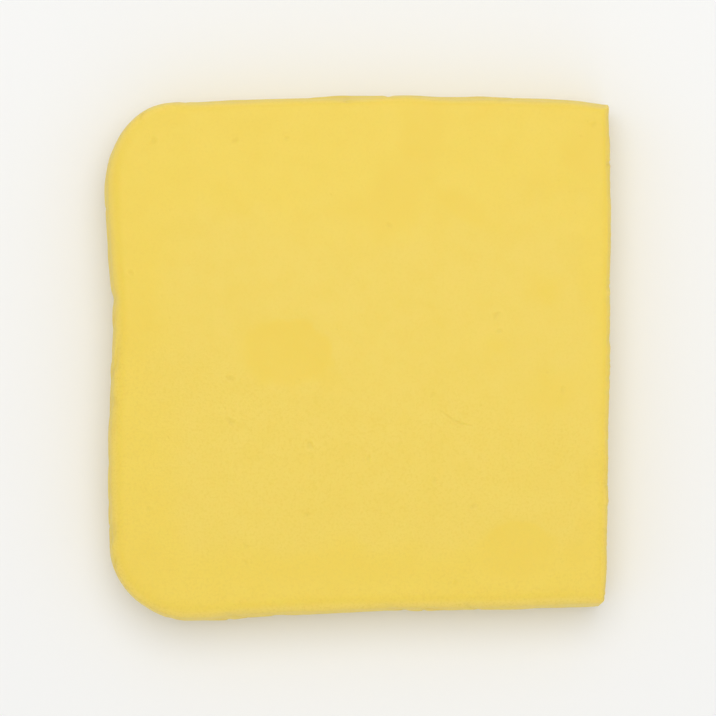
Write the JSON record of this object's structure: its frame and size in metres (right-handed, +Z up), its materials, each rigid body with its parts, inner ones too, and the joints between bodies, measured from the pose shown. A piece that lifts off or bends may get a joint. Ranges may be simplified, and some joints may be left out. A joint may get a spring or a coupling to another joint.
{
  "type": "detailing clay bar",
  "caption": "Soft slab of detailing clay with two moulded round corners on one end, a straight knife-cut face on the other and rolled edges, lying on its flat underside.",
  "frame": {"origin": "on the surface that it lies on, under the middle of the slab", "axes": "+X from the moulded end to the cut face, +Y from the near side to the far side along the cut face, +Z up out of the top"},
  "size_m": [0.072, 0.0746, 0.012],
  "materials": {
    "clay": "satin"
  },
  "bodies": {
    "root": {"clay_slab": "clay"}
  },
  "joints": []
}
